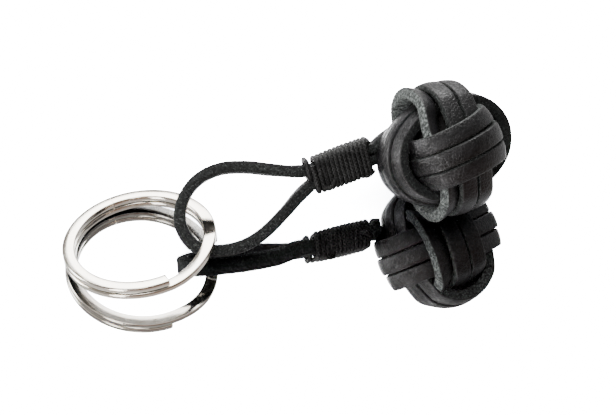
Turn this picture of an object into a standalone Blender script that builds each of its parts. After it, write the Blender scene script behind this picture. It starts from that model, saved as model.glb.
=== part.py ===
"""A keychain: a split ring, a key loop of flat leather lace and a monkey's fist knot.

The script works in metres. +Z is up and +X runs from the split ring to the fist.
The keychain lies on the plane z = 0: the fist and the low side of the loop touch it,
and the split ring leans on the loop.
"""
import math

import bpy
from mathutils import Matrix, Vector

MM = 0.001

# The lace: flat leather, smooth grain side out and suede side in.
LACE_WIDTH = 3.4 * MM
LACE_THICKNESS = 2.25 * MM
TOUCH_GAP = 0.25 * MM

# The fist: three sets of three turns round a ball, each set square to the other two.
CORE_DIAMETER = 16.0 * MM
TURN_PITCH = 3.55 * MM
TURN_FLESH_WIDTH = 2.9 * MM
TURN_TILT = 0.72
TURN_BEND_RADIUS = 1.2 * MM
FIST_CENTRE = Vector((31.47, -0.80, 13.40)) * MM
FIST_YAW = math.radians(15.3)
FIST_LEAN = math.radians(40.5)

# The handle axis: it climbs from the loop, through the whipping, to the fist.
HANDLE_START = Vector((4.97, 2.00, 10.1)) * MM
HANDLE_YAW = math.radians(-1.0)
HANDLE_CLIMB = math.radians(5.5)
LOOP_RISE = math.radians(38.5)
WHIPPING_TWIST = math.radians(16.0)
TWIST_LENGTH = 9.0 * MM
HANDLE_BEND = math.radians(8.5)
HANDLE_BEND_LENGTH = 6.0 * MM

# The whipping: one thread wound round both runs of the lace.
WHIPPING_LENGTH = 12.6 * MM
WHIPPING_TURNS = 13
THREAD_DIAMETER = 0.85 * MM
LEAD_TURN_PLACE = -1.4 * MM
LEAD_TURN_RISE = 1.55 * MM
WHIPPED_WIDTH = 3.2 * MM
WHIPPED_THICKNESS = 2.1 * MM
NECK_START = 10.2 * MM
NECK_WIDTH = 3.0 * MM
NECK_THICKNESS = 2.0 * MM

# The split ring: two turns of flat wire with one joggle between them.
RING_OUTER_DIAMETER = 30.0 * MM
RING_WIRE_WIDTH = 2.4 * MM
RING_WIRE_HEIGHT = 1.2 * MM
RING_TURN_GAP = 0.25 * MM
RING_CENTRE = Vector((-30.03, 0.0, 3.45)) * MM
RING_NORMAL = Vector((-0.065, 0.122, 0.99)).normalized()
RING_SWING_POINT = Vector((-17.3, -5.0, 5.8)) * MM
RING_UPPER_END = math.radians(-79.0)
JOGGLE_START = math.radians(297.0)
JOGGLE_END = math.radians(360.0)
WIRE_SWEEP = math.radians(657.0)
TONGUE_SWEEP = math.radians(180.0)

# Finishes: name, colour, roughness, metallic value.
LEATHER = ("black_leather", (0.030, 0.030, 0.032, 1.0), 0.55, 0.0)
THREAD = ("waxed_thread", (0.045, 0.045, 0.048, 1.0), 0.65, 0.0)
NICKEL = ("polished_nickel", (0.80, 0.78, 0.75, 1.0), 0.08, 1.0)
DARK_WOOD = ("stained_wood", (0.030, 0.022, 0.018, 1.0), 0.60, 0.0)

X_AXIS = Vector((1.0, 0.0, 0.0))
Z_AXIS = Vector((0.0, 0.0, 1.0))


# ---------------------------------------------------------------- scene and materials

def clear_scene():
    """Remove every object, so that the script can run again in the same file."""
    for old in list(bpy.data.objects):
        bpy.data.objects.remove(old, do_unlink=True)


def make_material(piece_name, finish):
    """Return the piece's own Principled material."""
    finish_name, colour, roughness, metallic = finish
    material = bpy.data.materials.new(f"{piece_name}_{finish_name}")
    material.use_nodes = True
    shader = material.node_tree.nodes["Principled BSDF"]
    shader.inputs["Base Color"].default_value = colour
    shader.inputs["Roughness"].default_value = roughness
    shader.inputs["Metallic"].default_value = metallic
    return material


def make_pivot(name, location):
    """Make an empty on a joint's axis, for the pieces that move together."""
    pivot = bpy.data.objects.new(name, None)
    pivot.location = location
    pivot.empty_display_size = 2 * MM
    bpy.context.scene.collection.objects.link(pivot)
    return pivot


def add_object(name, vertices, faces, finish, pivot=None):
    """Make one mesh object from world points, about its pivot if it has one."""
    origin = pivot.location if pivot else Vector((0.0, 0.0, 0.0))
    mesh = bpy.data.meshes.new(name)
    mesh.from_pydata([tuple(v - origin) for v in vertices], [], faces)
    mesh.update()
    mesh.shade_smooth()
    mesh.set_sharp_from_angle(angle=math.radians(35.0))
    mesh.materials.append(make_material(name, finish))
    piece = bpy.data.objects.new(name, mesh)
    piece.parent = pivot
    bpy.context.scene.collection.objects.link(piece)
    return piece


# ---------------------------------------------------------------- sweeping a section

def rectangle(outer_width, inner_width, thickness):
    """Section of a lace as (side, out) points, grain side first, counter-clockwise."""
    half = thickness / 2
    return [
        (outer_width / 2, half),
        (-outer_width / 2, half),
        (-inner_width / 2, -half),
        (inner_width / 2, -half),
    ]


def circle(radius, count):
    """Section of a round thread as (side, out) points."""
    steps = [2 * math.pi * i / count for i in range(count)]
    return [(radius * math.cos(a), radius * math.sin(a)) for a in steps]


def sweep(stations, closed):
    """Skin the sections at the stations; a station is (centre, side, out, section)."""
    vertices = []
    for centre, side, out, section in stations:
        vertices += [centre + side * s + out * o for s, o in section]
    count = len(stations[0][3])
    spans = len(stations) if closed else len(stations) - 1
    faces = []
    for i in range(spans):
        here = i * count
        there = ((i + 1) % len(stations)) * count
        for j in range(count):
            k = (j + 1) % count
            faces.append((here + j, here + k, there + k, there + j))
    if not closed:
        faces.append(tuple(reversed(range(count))))
        last = (len(stations) - 1) * count
        faces.append(tuple(range(last, last + count)))
    return vertices, faces


def turn_outward(vertices, faces):
    """Flip the faces where the closed skin encloses a negative volume."""
    volume = 0.0
    for face in faces:
        a = vertices[face[0]]
        for i in range(1, len(face) - 1):
            volume += a.dot(vertices[face[i]].cross(vertices[face[i + 1]]))
    return faces if volume > 0 else [tuple(reversed(face)) for face in faces]


def swept_object(name, stations, closed, finish, pivot=None):
    """Sweep a section along stations and make the object."""
    vertices, faces = sweep(stations, closed)
    return add_object(name, vertices, turn_outward(vertices, faces), finish, pivot)


def smooth_curve(points, steps):
    """Catmull-Rom points through a list of tuples, with so many steps in each span."""
    padded = [points[0], *points, points[-1]]
    result = []
    for i in range(1, len(padded) - 2):
        p0, p1, p2, p3 = (Vector(p) for p in padded[i - 1:i + 3])
        for step in range(steps):
            t = step / steps
            a = p1 * 2
            b = (p2 - p0) * t
            c = (p0 * 2 - p1 * 5 + p2 * 4 - p3) * t ** 2
            d = (p1 * 3 - p0 - p2 * 3 + p3) * t ** 3
            result.append((a + b + c + d) / 2)
    result.append(Vector(points[-1]))
    return result


def tangents(points):
    """Unit directions along a run of points."""
    last = len(points) - 1
    pairs = [(points[max(i - 1, 0)], points[min(i + 1, last)]) for i in range(last + 1)]
    return [(b - a).normalized() for a, b in pairs]


# ---------------------------------------------------------------- the fist

def fist_axes():
    """Directions of the three sets: towards the front, to the right, and up."""
    level_front = Vector((math.sin(FIST_YAW), -math.cos(FIST_YAW), 0.0))
    right = Vector((math.cos(FIST_YAW), math.sin(FIST_YAW), 0.0))
    front = level_front * math.cos(FIST_LEAN) + Z_AXIS * math.sin(FIST_LEAN)
    return front, right, front.cross(right)


def quarter_turn():
    """Quarter of a middle turn, from where it lies on top to where it lies on the ball.

    A turn is a taut strap: it runs over the tops of the three turns that it crosses,
    bends over the last one's corner, and runs straight down to the ball, where the
    third set crosses over it. Each sample is (top, along, normal angle).
    """
    half = LACE_THICKNESS / 2
    on_ball = CORE_DIAMETER / 2 + TOUCH_GAP
    tilt = math.asin(TURN_PITCH / (on_ball + half)) * TURN_TILT
    corner = Vector((
        math.sqrt((on_ball + half) ** 2 - TURN_PITCH ** 2),
        TURN_PITCH))
    corner += Vector((math.cos(tilt), math.sin(tilt))) * half
    corner += Vector((-math.sin(tilt), math.cos(tilt))) * (LACE_WIDTH / 2)
    last_corner = math.atan2(corner.y, corner.x)
    on_top = corner.length + TOUCH_GAP * 2
    hub = on_top - TURN_BEND_RADIUS
    leave = last_corner + math.acos((on_ball - TURN_BEND_RADIUS) / hub)
    samples = []

    def arc(hub_radius, radius, start, end, steps):
        for i in range(steps + 1):
            angle = start + (end - start) * i / steps
            top = hub_radius * math.cos(last_corner) + radius * math.cos(angle)
            along = hub_radius * math.sin(last_corner) + radius * math.sin(angle)
            samples.append((top, along, angle))

    arc(0.0, on_top + half, 0.0, last_corner, 3)
    samples.pop()
    arc(hub, TURN_BEND_RADIUS + half, last_corner, leave, 4)
    run_start = samples[-1]
    run_end = (on_ball + half) * math.cos(leave), (on_ball + half) * math.sin(leave)
    for i in range(1, 4):
        t = i / 4
        top = run_start[0] + (run_end[0] - run_start[0]) * t
        along = run_start[1] + (run_end[1] - run_start[1]) * t
        samples.append((top, along, leave))
    arc(0.0, on_ball + half, leave, math.pi / 2, 3)
    return samples


def full_turn():
    """All round one turn, made of the quarter turn and its mirror images."""
    quarter = quarter_turn()
    there = [(t, a, math.cos(n), math.sin(n)) for t, a, n in quarter]
    back = [(-t, a, -c, s) for t, a, c, s in reversed(there[:-1])]
    half = there + back
    return half + [(-t, -a, -c, -s) for t, a, c, s in half[1:-1]]


def fist_turn(name, place, top, along, across, pivot):
    """One turn of a set; place is -1, 0 or 1 across the set."""
    offset = place * TURN_PITCH
    section = rectangle(LACE_WIDTH, TURN_FLESH_WIDTH, LACE_THICKNESS)
    stations = []
    for t, a, normal_t, normal_a in full_turn():
        radius = math.hypot(t, a)
        shrink = math.sqrt(1 - (offset / radius) ** 2)
        tilt = math.asin(offset / radius) * TURN_TILT
        centre = FIST_CENTRE + (top * t + along * a) * shrink + across * offset
        level = top * normal_t + along * normal_a
        out = level * math.cos(tilt) + across * math.sin(tilt)
        side = across * math.cos(tilt) - level * math.sin(tilt)
        stations.append((centre, side, out, section))
    return swept_object(name, stations, True, LEATHER, pivot)


def build_fist(pivot):
    """Nine turns: a round the front, b over the front, c over the top and bottom."""
    front, right, up = fist_axes()
    sets = {
        "a": (right, up, front),
        "b": (front, right, up),
        "c": (up, front, right),
    }
    for letter, (top, along, across) in sets.items():
        for number, place in enumerate((1, 0, -1), start=1):
            fist_turn(f"fist_{letter}{number}", place, top, along, across, pivot)


def build_core_ball(pivot):
    """The ball that the fist is tied round."""
    bpy.ops.mesh.primitive_uv_sphere_add(
        segments=24, ring_count=12, radius=CORE_DIAMETER / 2)
    ball = bpy.context.active_object
    ball.name = "core_ball"
    ball.parent = pivot
    ball.location = FIST_CENTRE - pivot.location
    ball.data.shade_smooth()
    ball.data.materials.append(make_material("core_ball", DARK_WOOD))


# ---------------------------------------------------------------- the loop and the neck

def handle_frame():
    """Direction of the handle, and the loop plane's own up and front directions."""
    along = Vector((
        math.cos(HANDLE_CLIMB) * math.cos(HANDLE_YAW),
        math.cos(HANDLE_CLIMB) * math.sin(HANDLE_YAW),
        math.sin(HANDLE_CLIMB)))
    back = Z_AXIS.cross(along).normalized()
    upright = along.cross(back)
    up = back * math.cos(LOOP_RISE) + upright * math.sin(LOOP_RISE)
    return along, up, along.cross(up)


def twist_at(distance):
    """The lace's twist out of the loop plane: all of it from the whipping onwards."""
    t = min(max(1 + distance / TWIST_LENGTH, 0.0), 1.0)
    return WHIPPING_TWIST * t * t * (3 - 2 * t)


def bend_at(distance):
    """How far the handle has bent to the back: an arc, then a straight run."""
    run = min(max(distance + HANDLE_BEND_LENGTH / 2, 0.0), HANDLE_BEND_LENGTH)
    beyond = max(distance - HANDLE_BEND_LENGTH / 2, 0.0)
    return math.tan(HANDLE_BEND) * (run ** 2 / (2 * HANDLE_BEND_LENGTH) + beyond)


def handle_point(distance, rise):
    """A point on the handle, with the up and side directions that hold there."""
    along, up, side = handle_frame()
    turn = Matrix.Rotation(twist_at(distance), 3, along)
    here_up = turn @ up
    back = Z_AXIS.cross(along).normalized()
    centre = HANDLE_START + along * distance + back * bend_at(distance)
    return centre + here_up * rise, here_up, turn @ side


def build_key_loop():
    """One run of lace, out of the whipping, round the key loop and back into it."""
    run = WHIPPED_THICKNESS / 2 + 0.15 * MM
    outline = [
        (9.9, run / MM), (6.6, run / MM), (1.2, run / MM), (-2.6, 1.8), (-7.2, 3.3), (-12.2, 5.1),
        (-17.2, 5.9), (-22.0, 4.7), (-25.6, 1.4), (-27.0, -3.0), (-25.4, -7.4),
        (-21.4, -9.5), (-16.4, -9.8), (-11.8, -8.5), (-7.2, -5.9), (-2.8, -2.9),
        (1.2, -run / MM), (6.6, -run / MM), (9.9, -run / MM),
    ]
    flat = smooth_curve([(u * MM, v * MM) for u, v in outline], 4)
    frames = [handle_point(u, v) for u, v in flat]
    centres = [frame[0] for frame in frames]
    stations = []
    for centre, direction, frame, (u, v) in zip(centres, tangents(centres), frames, flat):
        squeeze = min(max(u / (2 * MM) + 1, 0.0), 1.0)
        width = LACE_WIDTH + (WHIPPED_WIDTH - LACE_WIDTH) * squeeze
        thickness = LACE_THICKNESS + (WHIPPED_THICKNESS - LACE_THICKNESS) * squeeze
        side = (frame[2] - direction * frame[2].dot(direction)).normalized()
        out = side.cross(direction)
        stations.append((centre, side, out, rectangle(width, width, thickness)))
    return swept_object("key_loop", stations, False, LEATHER)


def strand_stations(points, steps=4):
    """Stations of a short free strand, given as (point, side direction) in world axes."""
    centres = smooth_curve([tuple(p) for p, _ in points], steps)
    sides = smooth_curve([tuple(s) for _, s in points], steps)
    section = rectangle(NECK_WIDTH, NECK_WIDTH, NECK_THICKNESS)
    stations = []
    for centre, direction, side in zip(centres, tangents(centres), sides):
        square = (side - direction * side.dot(direction)).normalized()
        stations.append((centre, square, square.cross(direction), section))
    return stations


def fist_point(right_mm, front_mm, up_mm):
    """A point given along the fist's own axes, in millimetres from its centre."""
    front, right, up = fist_axes()
    return FIST_CENTRE + (right * right_mm + front * front_mm + up * up_mm) * MM


def build_neck(pivot):
    """Two strands that climb from the whipping to the opening behind the a turns."""
    _, _, side = handle_point(WHIPPING_LENGTH, 0.0)
    run = WHIPPED_THICKNESS / 2 + 0.15 * MM
    routes = {
        "upper": (run, [(-10.8, -7.4, 5.4), (-8.9, -7.7, 6.8), (-7.4, -7.8, 8.1)]),
        "lower": (-run, [(-11.0, -7.7, 2.6), (-10.3, -8.1, 2.9)]),
    }
    for name, (rise, stops) in routes.items():
        first, _, _ = handle_point(NECK_START, rise)
        second, _, _ = handle_point(WHIPPING_LENGTH - 0.3 * MM, rise)
        points = [(first, side), (second, side)]
        points += [(fist_point(*stop), side) for stop in stops]
        swept_object(f"neck_strand_{name}", strand_stations(points), False, LEATHER, pivot)


# ---------------------------------------------------------------- the whipping

def round_bundle(rise_half, side_half, radius, angle):
    """Point on a rounded box round the bundle, at a turn angle from the side."""
    quarter = math.pi / 2
    index = math.floor(angle / quarter)
    t = angle / quarter - index
    corners = [(1, 1), (-1, 1), (-1, -1), (1, -1)]
    side_sign, rise_sign = corners[index % 4]
    start = index % 4 * quarter
    side = side_sign * side_half + radius * math.cos(start + t * quarter)
    rise = rise_sign * rise_half + radius * math.sin(start + t * quarter)
    return side, rise, start + t * quarter


def thread_stations(distance, advance, turns, rise_half, side_half, centre_rise, steps=16):
    """Stations of a thread wound round a bundle; advance is the pitch of its helix."""
    radius = THREAD_DIAMETER / 2 + TOUCH_GAP
    section = circle(THREAD_DIAMETER / 2, 6)
    along, _, _ = handle_frame()
    stations = []
    for i in range(round(turns * steps) + (1 if advance else 0)):
        turned = i / steps
        angle = 2 * math.pi * turned
        side_offset, rise_offset, normal = round_bundle(rise_half, side_half, radius, angle)
        place = distance + advance * turned
        centre, up, side = handle_point(place, centre_rise)
        point = centre + side * side_offset + up * rise_offset
        out = side * math.cos(normal) + up * math.sin(normal)
        stations.append((point, along, out, section))
    return stations


def build_whipping():
    """The helix of thread, and the lead turn that stands apart on the upper run."""
    rise_half = 0.15 * MM + WHIPPED_THICKNESS
    side_half = WHIPPED_WIDTH / 2
    pitch = (WHIPPING_LENGTH - THREAD_DIAMETER) / WHIPPING_TURNS
    start = THREAD_DIAMETER / 2
    stations = thread_stations(start, pitch, WHIPPING_TURNS, rise_half, side_half, 0.0)
    swept_object("whipping", stations, False, THREAD)


def build_lead_turn():
    """The thread's first turn, round the upper run only, a little before the rest."""
    rise_half = LACE_THICKNESS / 2
    side_half = LACE_WIDTH / 2
    stations = thread_stations(LEAD_TURN_PLACE, 0.0, 1, rise_half, side_half, LEAD_TURN_RISE)
    swept_object("whipping_lead_turn", stations, True, THREAD)


# ---------------------------------------------------------------- the split ring

def ring_frame():
    """Ring axes: the object's +X and +Y laid into the ring's plane, and its normal."""
    first = (X_AXIS - RING_NORMAL * X_AXIS.dot(RING_NORMAL)).normalized()
    return first, RING_NORMAL.cross(first), RING_NORMAL


def wire_station(sweep_angle, section):
    """A station of the wire, at an angle run clockwise from the upper end."""
    first, second, normal = ring_frame()
    radius = (RING_OUTER_DIAMETER - RING_WIRE_WIDTH) / 2
    level = (RING_WIRE_HEIGHT + RING_TURN_GAP) / 2
    t = (sweep_angle - JOGGLE_START) / (JOGGLE_END - JOGGLE_START)
    t = min(max(t, 0.0), 1.0)
    height = level * (1 - 2 * t * t * (3 - 2 * t))
    angle = RING_UPPER_END - sweep_angle
    outward = first * math.cos(angle) + second * math.sin(angle)
    return RING_CENTRE + outward * radius + normal * height, outward, normal, section


def wire_piece(name, start, end, steps, pivot):
    """A length of the ring's wire between two sweep angles."""
    section = rectangle(RING_WIRE_WIDTH, RING_WIRE_WIDTH, RING_WIRE_HEIGHT)
    angles = [start + (end - start) * i / steps for i in range(steps + 1)]
    stations = [wire_station(angle, section) for angle in angles]
    return swept_object(name, stations, False, NICKEL, pivot)


def build_split_ring():
    """The coil, and the half turn that springs up to let a key on."""
    radius = (RING_OUTER_DIAMETER - RING_WIRE_WIDTH) / 2
    cut = TOUCH_GAP / radius
    root = wire_station(TONGUE_SWEEP, [])[0]
    ring_pivot = make_pivot("ring_swing_pivot", RING_SWING_POINT)
    tongue_pivot = make_pivot("ring_open_pivot", root)
    wire_piece("split_ring", TONGUE_SWEEP, WIRE_SWEEP, 84, ring_pivot)
    wire_piece("split_ring_tongue", 0.0, TONGUE_SWEEP - cut, 32, tongue_pivot)


# ---------------------------------------------------------------- the whole keychain

def build():
    clear_scene()
    neck_root, _, _ = handle_point(WHIPPING_LENGTH, 0.0)
    neck_pivot = make_pivot("neck_bend_pivot", neck_root)
    fist_pivot = make_pivot("fist_twist_pivot", neck_root)
    build_fist(fist_pivot)
    build_core_ball(fist_pivot)
    build_key_loop()
    build_neck(neck_pivot)
    build_whipping()
    build_lead_turn()
    build_split_ring()


build()
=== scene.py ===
"""Looks of the keychain: laced leather knot, whipped handle, key loop and split ring.

Lengths are in metres. +X runs from the ring to the fist and +Z is up.
"""
import math
import random

import bpy
import numpy as np
from mathutils import Matrix, Vector, noise


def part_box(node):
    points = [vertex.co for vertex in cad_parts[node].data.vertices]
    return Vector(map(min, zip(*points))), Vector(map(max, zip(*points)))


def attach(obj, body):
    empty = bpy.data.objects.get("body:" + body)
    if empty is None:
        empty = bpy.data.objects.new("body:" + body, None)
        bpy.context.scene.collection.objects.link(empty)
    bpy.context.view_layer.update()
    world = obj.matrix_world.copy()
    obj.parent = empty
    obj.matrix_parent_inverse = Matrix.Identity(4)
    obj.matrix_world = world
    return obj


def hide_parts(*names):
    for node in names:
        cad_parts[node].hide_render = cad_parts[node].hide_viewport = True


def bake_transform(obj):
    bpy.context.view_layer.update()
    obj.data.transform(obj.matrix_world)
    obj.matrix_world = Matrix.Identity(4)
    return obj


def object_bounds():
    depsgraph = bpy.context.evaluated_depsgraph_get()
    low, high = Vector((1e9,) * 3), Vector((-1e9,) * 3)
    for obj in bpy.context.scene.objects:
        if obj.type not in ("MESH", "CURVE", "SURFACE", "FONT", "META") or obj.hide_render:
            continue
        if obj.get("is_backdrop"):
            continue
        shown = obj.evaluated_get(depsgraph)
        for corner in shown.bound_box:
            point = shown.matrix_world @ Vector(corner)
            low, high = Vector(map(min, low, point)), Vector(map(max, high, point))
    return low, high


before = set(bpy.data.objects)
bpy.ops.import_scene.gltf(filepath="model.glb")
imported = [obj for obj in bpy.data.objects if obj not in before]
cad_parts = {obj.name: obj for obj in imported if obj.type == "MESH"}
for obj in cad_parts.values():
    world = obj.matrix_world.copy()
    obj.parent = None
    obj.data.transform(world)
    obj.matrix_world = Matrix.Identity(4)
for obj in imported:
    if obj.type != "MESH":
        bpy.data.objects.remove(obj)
cad_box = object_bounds()

MM = 0.001

# The lace: flat leather, grain side out, flesh side in, with rough cut edges.
LACE_WIDTH = 3.4 * MM
LACE_THICKNESS = 2.25 * MM
FLESH_WIDTH = 3.0 * MM
GRAIN_CROWN = 0.13 * MM
GRAIN_ROUND = 0.30 * MM
FLESH_ROUND = 0.14 * MM
EDGE_BULGE = 0.10 * MM
LACE_STEP = 0.23 * MM
CORNER_EDGE_SHARE = 130.0   # degrees of a corner that would make it wholly cut edge
LACE_SHARP = 50.0
PALE_LOOP = 0.12
PALE_NECK = 0.35

# The fist: three sets of three turns over a ball.
CORE_RADIUS = 8.0 * MM
TOUCH_GAP = 0.25 * MM
TURN_PITCH = 3.55 * MM
TURN_TILT = 0.72
TURN_BEND_RADIUS = 1.2 * MM
FIST_YAW = math.radians(15.3)
FIST_LEAN = math.radians(40.5)
SET_SKEW = math.radians(5.5)
OVER_SET_LEAN = math.radians(-7.0)
TURN_WOBBLE = 1.2           # degrees
TURN_SWELL = 0.008
TURN_SHAPE = 0.08
LOOSE_SWELL = 0.03          # the nearest turn over the top stands out
TIGHT_SWELL = -0.018        # the other two of its set lie close
LOOSE_SWAY = -1.3 * MM
SWAY_MIDDLE = 1.05          # radians from the top of a turn
SWAY_SPREAD = 0.42

# The handle, the whipping and the loop.
HANDLE_START = Vector((4.97, 2.00, 10.1)) * MM
HANDLE_YAW = math.radians(-1.0)
HANDLE_CLIMB = math.radians(5.5)
HANDLE_BEND = math.radians(8.5)
HANDLE_BEND_LENGTH = 6.0 * MM
LOOP_RISE = math.radians(38.5)
WHIPPING_TWIST = math.radians(16.0)
TWIST_LENGTH = 9.0 * MM
WHIPPING_LENGTH = 12.6 * MM
WHIPPING_TURNS = 13
THREAD_RADIUS = 0.55 * MM
WHIPPED_WIDTH = 3.2 * MM
WHIPPED_THICKNESS = 2.1 * MM
RUN_RISE = 1.2 * MM
NECK_SPLIT = 0.31           # share of a neck strand in its first length; the rest is its second length
NECK_SQUEEZE = (0.88, 0.9)
NECK_STARTS = (10.2 * MM, 12.3 * MM)
LEAD_PLACE = -0.35 * MM
LEAD_RISE = 1.55 * MM
LEAD_SHARE = 0.85
TUCK_SHARE = 0.9
TUCK_LENGTH = 2.6 * MM
TUCK_LIFT = 0.30 * MM
TUCK_BOW = 0.75 * MM
TUCK_STEPS = 24
THREAD_WANDER = 0.10 * MM
PLAIT_LENGTH = 0.72 * MM
PLAIT_STRANDS = 4

# The split ring.
RING_OUTER_DIAMETER = 30.0 * MM
RING_WIRE_WIDTH = 2.4 * MM
RING_WIRE_HEIGHT = 1.2 * MM
RING_TURN_GAP = 0.25 * MM
RING_WIRE_ROUND = 0.28 * MM
RING_CENTRE = Vector((-30.03, 0.0, 3.45)) * MM
RING_NORMAL = Vector((-0.065, 0.122, 0.99)).normalized()
RING_UPPER_END = math.radians(-79.0)
JOGGLE_START = math.radians(297.0)
JOGGLE_END = math.radians(360.0)
WIRE_SWEEP = math.radians(657.0)
TONGUE_SWEEP = math.radians(180.0)
RING_SHARP = 60.0
COIL_SECTIONS = 900
TONGUE_SECTIONS = 340
END_CUT = 0.10 * MM

LOOP_OUTLINE = [
    (9.9, 1.2), (6.6, 1.2), (1.2, 1.2), (-2.6, 1.8), (-7.2, 3.3), (-12.2, 5.1),
    (-17.2, 5.9), (-22.0, 4.7), (-25.6, 1.4), (-27.0, -3.0), (-25.4, -7.4),
    (-21.4, -9.5), (-16.4, -9.8), (-11.8, -8.5), (-7.2, -5.9), (-2.8, -2.9),
    (1.2, -1.2), (6.6, -1.2), (9.9, -1.2),
]

X_AXIS = Vector((1.0, 0.0, 0.0))
Z_AXIS = Vector((0.0, 0.0, 1.0))
low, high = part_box("core_ball")
FIST_CENTRE = (low + high) / 2


# ---------------- small helpers

def unit(v):
    """Rows of v at unit length."""
    return v / np.linalg.norm(v, axis=-1, keepdims=True)


def array(v):
    return np.array(v, float)


def smooth_curve(points, steps):
    """Catmull-Rom points through a list of tuples."""
    padded = [points[0], *points, points[-1]]
    result = []
    for i in range(1, len(padded) - 2):
        p0, p1, p2, p3 = (array(p) for p in padded[i - 1:i + 3])
        for step in range(steps):
            t = step / steps
            b = (p2 - p0) * t
            c = (p0 * 2 - p1 * 5 + p2 * 4 - p3) * t ** 2
            d = (p1 * 3 - p0 - p2 * 3 + p3) * t ** 3
            result.append((p1 * 2 + b + c + d) / 2)
    result.append(array(points[-1]))
    return np.array(result)


def spaced(points, step, closed):
    """The same path with points an even step apart."""
    path = np.vstack([points, points[:1]]) if closed else points
    lengths = np.r_[0.0, np.cumsum(np.linalg.norm(np.diff(path, axis=0), axis=1))]
    count = max(round(lengths[-1] / step), 4)
    wanted = np.linspace(0.0, lengths[-1], count + 1)
    if closed:
        wanted = wanted[:-1]
    return np.stack([np.interp(wanted, lengths, path[:, k]) for k in range(path.shape[1])], 1)


def directions(path, closed):
    """Unit tangents of a path."""
    if closed:
        return unit(np.roll(path, -1, 0) - np.roll(path, 1, 0))
    return unit(np.gradient(path, axis=0))


def new_object(name, data):
    """An object in the scene for a mesh, a lamp or the camera."""
    item = bpy.data.objects.new(name, data)
    bpy.context.scene.collection.objects.link(item)
    return item


def make_mesh(name, vertices, faces, values, uv=None):
    """A smooth mesh object with float attributes on its points."""
    mesh = bpy.data.meshes.new(name)
    mesh.from_pydata(vertices.tolist(), [], faces)
    mesh.update()
    for label, numbers in values.items():
        store = mesh.attributes.new(label, "FLOAT", "POINT")
        store.data.foreach_set("value", np.asarray(numbers, np.float32))
    if uv is not None:
        layer = mesh.uv_layers.new(name="UVMap")
        layer.data.foreach_set("uv", np.asarray(uv, np.float32).ravel())
    mesh.shade_smooth()
    return new_object(name, mesh)


def skin(name, rings, values, closed, sharp=LACE_SHARP):
    """Skin a stack of section rings with quads; uv runs along and around."""
    count, size = rings.shape[:2]
    spans = count if closed else count - 1
    centres = rings.mean(1)
    hops = np.linalg.norm(np.diff(centres, axis=0, append=centres[:1]), axis=1)
    along = np.r_[0.0, np.cumsum(hops)]
    edge = np.linalg.norm(np.diff(rings[0], axis=0, append=rings[0][:1]), axis=1)
    around = np.r_[0.0, np.cumsum(edge)]
    faces = []
    uv = []
    for i in range(spans):
        here = i * size
        there = ((i + 1) % count) * size
        for j in range(size):
            k = (j + 1) % size
            faces.append((here + j, here + k, there + k, there + j))
            uv += [(along[i], around[j]), (along[i], around[j + 1])]
            uv += [(along[i + 1], around[j + 1]), (along[i + 1], around[j])]
    if not closed:
        faces.append(tuple(reversed(range(size))))
        faces.append(tuple(range((count - 1) * size, count * size)))
        uv += [(0.0, around[j]) for j in reversed(range(size))]
        uv += [(along[count - 1], around[j]) for j in range(size)]
    vertices = rings.reshape(-1, 3)
    a, b, c = rings[0, 0], rings[0, 1], rings[1, 1]
    outward = np.dot(np.cross(b - a, c - a), a - centres[0])
    if outward < 0:
        faces = [tuple(reversed(face)) for face in faces]
        flipped = []
        start = 0
        for face in faces:
            flipped += reversed(uv[start:start + len(face)])
            start += len(face)
        uv = flipped
    piece = make_mesh(name, vertices, faces, values, uv)
    piece.data.set_sharp_from_angle(angle=math.radians(sharp))
    return piece


# ---------------- the lace

def lace_section(width, flesh_width, thickness):
    """Section points (side, out) with how far each is cut edge and flesh side."""
    half = thickness / 2
    points = []
    flat = width / 2 - GRAIN_ROUND
    for t in np.linspace(1.0, -1.0, 9):
        points.append((flat * t, half + GRAIN_CROWN * (1 - t * t), 0.0, 0.0))
    for angle in (30.0, 60.0):
        turn = math.radians(90.0 + angle)
        side = -flat + GRAIN_ROUND * math.cos(turn)
        points.append((side, half - GRAIN_ROUND * (1 - math.sin(turn)), angle / CORNER_EDGE_SHARE, 0.0))
    top = half - GRAIN_ROUND
    bottom = -half + FLESH_ROUND
    for t in (0.0, 0.2, 0.4, 0.6, 0.8, 1.0):
        side = -(width + (flesh_width - width) * t) / 2 - EDGE_BULGE * math.sin(math.pi * t)
        points.append((side, top + (bottom - top) * t, 1.0, 0.0))
    for t in np.linspace(-0.9, 0.9, 5):
        points.append((flesh_width / 2 * t, -half, 0.6 if abs(t) > 0.8 else 0.0, 1.0))
    for t in (1.0, 0.8, 0.6, 0.4, 0.2, 0.0):
        side = (width + (flesh_width - width) * t) / 2 + EDGE_BULGE * math.sin(math.pi * t)
        points.append((side, top + (bottom - top) * t, 1.0, 0.0))
    for angle in (60.0, 30.0):
        turn = math.radians(90.0 - angle)
        side = flat + GRAIN_ROUND * math.cos(turn)
        points.append((side, half - GRAIN_ROUND * (1 - math.sin(turn)), angle / CORNER_EDGE_SHARE, 0.0))
    return array(points)


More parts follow.
